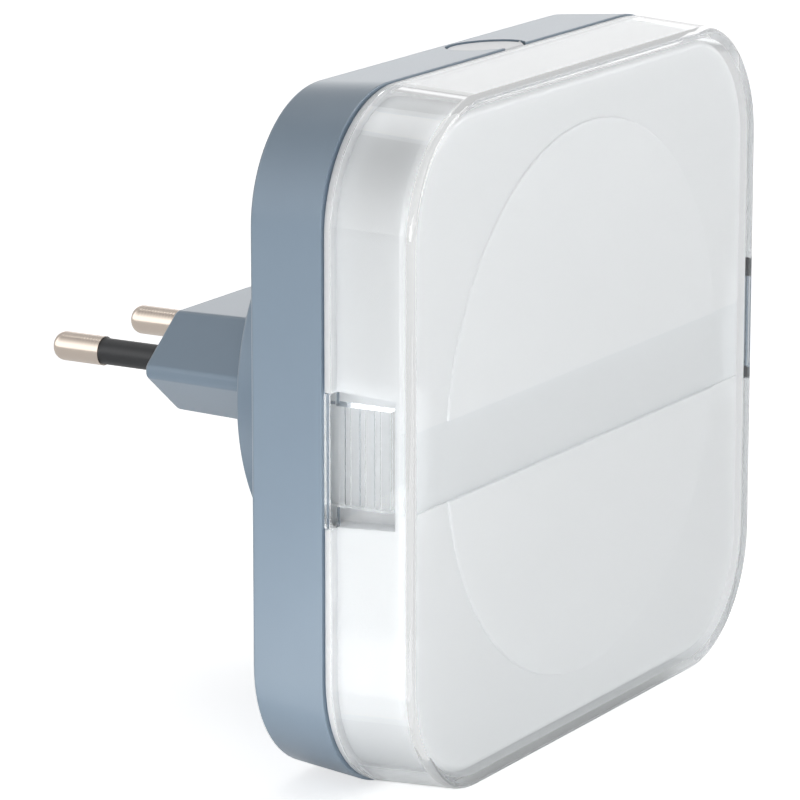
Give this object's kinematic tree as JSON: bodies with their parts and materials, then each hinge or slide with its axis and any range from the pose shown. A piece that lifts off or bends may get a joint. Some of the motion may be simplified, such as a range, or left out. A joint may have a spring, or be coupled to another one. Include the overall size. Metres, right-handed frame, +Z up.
{
  "type": "plug-in night light",
  "caption": "Square plug-in night light: slate housing with a round boss and flat mains plug behind, clear cover over an opal light box in front, push button on top.",
  "frame": {"origin": "on the plug's axis, in the plane of the round boss's rear face, which rests against the socket", "axes": "+Y into the wall along the pins, -Y out of the lit front, +Z up, +X to the right seen from the room"},
  "size_m": [0.094, 0.0776, 0.09],
  "materials": {
    "slate_abs": "satin moulded ABS, fine grain",
    "nickel": "nickel-plated brass, polished",
    "black_pbt": "satin black insulation",
    "clear_pmma": "clear polished acrylic",
    "opal_white": "opal white, satin",
    "button_white": "white, semi-gloss",
    "reflector_white": "matt white",
    "bronze": "rolled phosphor bronze",
    "board_green": "solder mask on glass epoxy",
    "led_yellow": "phosphor in white package",
    "film_yellow": "moulded box",
    "can_aluminium": "sleeved can",
    "chip_black": "moulded epoxy",
    "resistor_body": "cement coated",
    "switch_black": "moulded",
    "plunger_tan": "moulded",
    "zinc_steel": "zinc plated"
  },
  "bodies": {
    "lamp": {"rear_housing": "slate_abs", "plug_base": "slate_abs", "plug_pin_left": "nickel", "plug_pin_right": "nickel", "pin_sleeve_left": "black_pbt", "pin_sleeve_right": "black_pbt", "contact_strip_left": "bronze", "contact_strip_right": "bronze", "circuit_board": "board_green", "leds": "led_yellow", "film_capacitor": "film_yellow", "filter_capacitor": "can_aluminium", "bridge_rectifier": "chip_black", "fusible_resistor": "resistor_body", "control_chip": "chip_black", "chip_resistors": "chip_black", "zener_diode": "chip_black", "tact_switch": "switch_black", "reflector_tray": "reflector_white", "opal_diffuser": "opal_white", "clear_cover": "clear_pmma", "base_screws": "zinc_steel", "board_screws": "zinc_steel"},
    "button": {"push_button": "button_white", "switch_plunger": "plunger_tan"}
  },
  "joints": [
    {"name": "button_press", "type": "slide", "parent": "lamp", "child": "button", "axis": [0, 0, -1], "range_m": [0, 0.0005], "stiffness_N_per_m": 1500}
  ]
}
